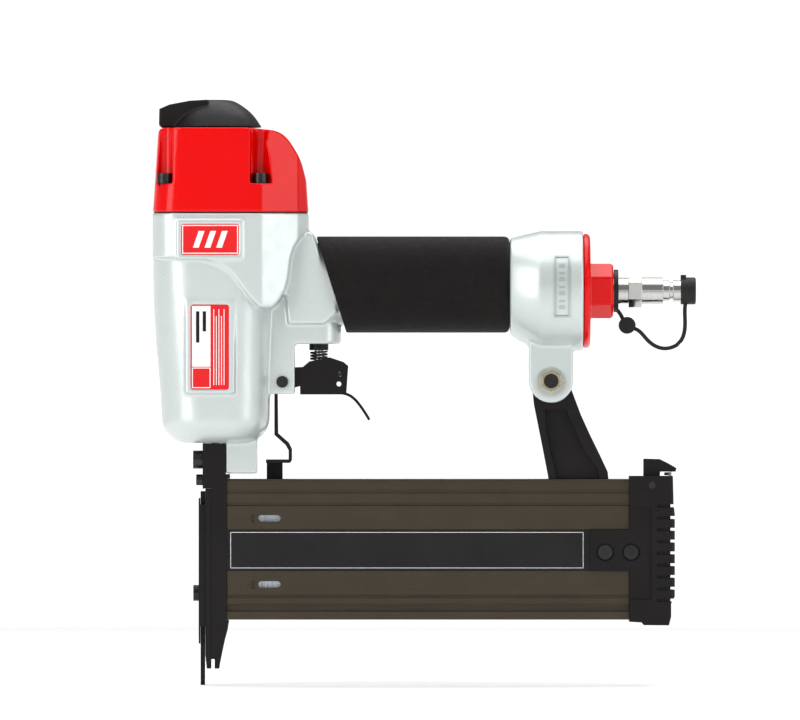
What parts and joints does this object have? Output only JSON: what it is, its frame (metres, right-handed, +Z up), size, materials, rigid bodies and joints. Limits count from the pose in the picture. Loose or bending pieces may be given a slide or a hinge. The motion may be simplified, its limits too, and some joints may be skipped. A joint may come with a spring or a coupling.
{
  "type": "pneumatic nail gun",
  "caption": "Pneumatic brad nailer with cast body, red cap, foam grip, sliding side magazine, sprung work contact and trigger",
  "frame": {"origin": "middle of the driver channel at the muzzle face", "axes": "+Z up the driver axis to the head, +X rearward to the air inlet, -Y the side with the badges and the sliding magazine panel"},
  "size_m": [0.2442, 0.0569, 0.2632],
  "materials": {
    "cast": "satin silver paint on a casting",
    "red_paint": "gloss red paint",
    "black_steel": "black oxide and satin black paint",
    "black_plastic": "fine moulded grain",
    "foam": "matte foam rubber",
    "rubber": "moulded rubber",
    "anodised": "bronze anodised, satin",
    "nickel": "bright nickel plate",
    "steel": "bright steel",
    "brad_steel": "galvanised",
    "black_screw": "black oxide screws",
    "badge_red": "gloss red plate",
    "label": "printed film",
    "bumper": "urethane",
    "zinc": "yellow zinc plate"
  },
  "bodies": {
    "root": {"housing": "cast", "head_badge": "badge_red", "side_badge": "badge_red", "cap_gasket": "rubber", "cylinder_cap": "red_paint", "cap_screws": "black_screw", "deflector_screw": "black_screw", "cylinder_sleeve": "anodised", "sleeve_check_ring": "rubber", "bumper": "bumper", "head_valve_spring": "steel", "grip_sleeve": "foam", "end_cap": "red_paint", "end_cap_ring": "rubber", "air_plug": "nickel", "tether_strap": "rubber", "trigger_pin": "black_screw", "trigger_valve_body": "black_plastic", "trigger_valve_rings": "rubber", "trigger_spring": "black_screw", "nosepiece": "black_steel", "front_plate": "black_steel", "nose_dowels": "steel", "nose_screws": "black_screw", "guide_screws": "black_screw", "front_cover": "black_steel", "cover_screw": "black_screw", "safety_guide_pin": "black_screw", "safety_spring": "black_screw", "fixed_magazine": "anodised", "brad_strip": "brad_steel", "magazine_screws": "black_screw", "rear_stay": "black_plastic", "stay_bolt": "black_screw", "stay_nut": "zinc", "stay_screws": "black_screw"},
    "deflector": {"exhaust_deflector": "black_plastic"},
    "piston": {"piston": "steel", "piston_ring": "rubber", "driver_blade": "steel"},
    "head_valve": {"head_valve": "black_plastic", "head_valve_ring": "rubber"},
    "trigger": {"trigger": "black_steel", "lever_pin": "black_screw"},
    "lever": {"trigger_lever": "steel"},
    "valve_stem": {"trigger_valve_stem": "steel"},
    "safety": {"contact_blade": "black_steel", "safety_link": "black_steel", "safety_arm": "black_steel"},
    "sliding_magazine": {"movable_magazine": "anodised", "magazine_label": "label", "tail_cover": "black_plastic", "tail_screws": "black_screw", "latch_pin": "black_screw", "pusher_spring_strip": "steel", "latch_spring": "steel"},
    "latch": {"latch": "black_plastic"},
    "pusher": {"pusher": "steel", "pusher_spring_coil": "steel"},
    "dust_cap": {"dust_cap": "rubber"}
  },
  "joints": [
    {"name": "deflector_turn", "type": "hinge", "parent": "root", "child": "deflector", "pos_m": [0, 0, 0.2495], "axis": [0, 0, 1], "continuous": true},
    {"name": "piston_stroke", "type": "slide", "parent": "root", "child": "piston", "axis": [0, 0, -1], "range_m": [0, 0.076]},
    {"name": "head_valve_lift", "type": "slide", "parent": "root", "child": "head_valve", "axis": [0, 0, 1], "range_m": [0, 0.004], "stiffness_N_per_m": 300, "springref_m": -0.006, "deforming": ["head_valve_spring"]},
    {"name": "trigger_pull", "type": "hinge", "parent": "root", "child": "trigger", "pos_m": [0.0312, 0, 0.129], "axis": [0, -1, 0], "range_deg": [0, 8.6], "stiffness_Nm_per_rad": 0.1, "springref_deg": -14.32},
    {"name": "lever_tilt", "type": "hinge", "parent": "trigger", "child": "lever", "pos_m": [0.057, 0, 0.1324], "axis": [0, 1, 0], "range_deg": [0, 7]},
    {"name": "stem_lift", "type": "slide", "parent": "root", "child": "valve_stem", "axis": [0, 0, 1], "range_m": [0, 0.0025], "deforming": ["trigger_spring"]},
    {"name": "contact_press", "type": "slide", "parent": "root", "child": "safety", "axis": [0, 0, 1], "range_m": [0, 0.008], "stiffness_N_per_m": 300, "springref_m": -0.012, "deforming": ["safety_spring"]},
    {"name": "magazine_slide", "type": "slide", "parent": "root", "child": "sliding_magazine", "axis": [1, 0, 0], "range_m": [0, 0.13]},
    {"name": "latch_press", "type": "hinge", "parent": "sliding_magazine", "child": "latch", "pos_m": [0.1973, 0, 0.0825], "axis": [0, 1, 0], "range_deg": [0, 9], "stiffness_Nm_per_rad": 0.05, "springref_deg": -17.19, "deforming": ["latch_spring"]},
    {"name": "pusher_travel", "type": "slide", "parent": "sliding_magazine", "child": "pusher", "axis": [1, 0, 0], "range_m": [0, 0.075], "stiffness_N_per_m": 15, "springref_m": -0.12},
    {"name": "dust_cap_swing", "type": "hinge", "parent": "root", "child": "dust_cap", "pos_m": [0.2098, 0, 0.1466], "axis": [0, 1, 0], "range_deg": [0, 100]}
  ],
  "couplings": [
    {"joint": "stem_lift", "follows": "trigger_pull", "m_per_rad": 0.0163},
    {"joint": "lever_tilt", "follows": "contact_press", "rad_per_m": 15}
  ]
}
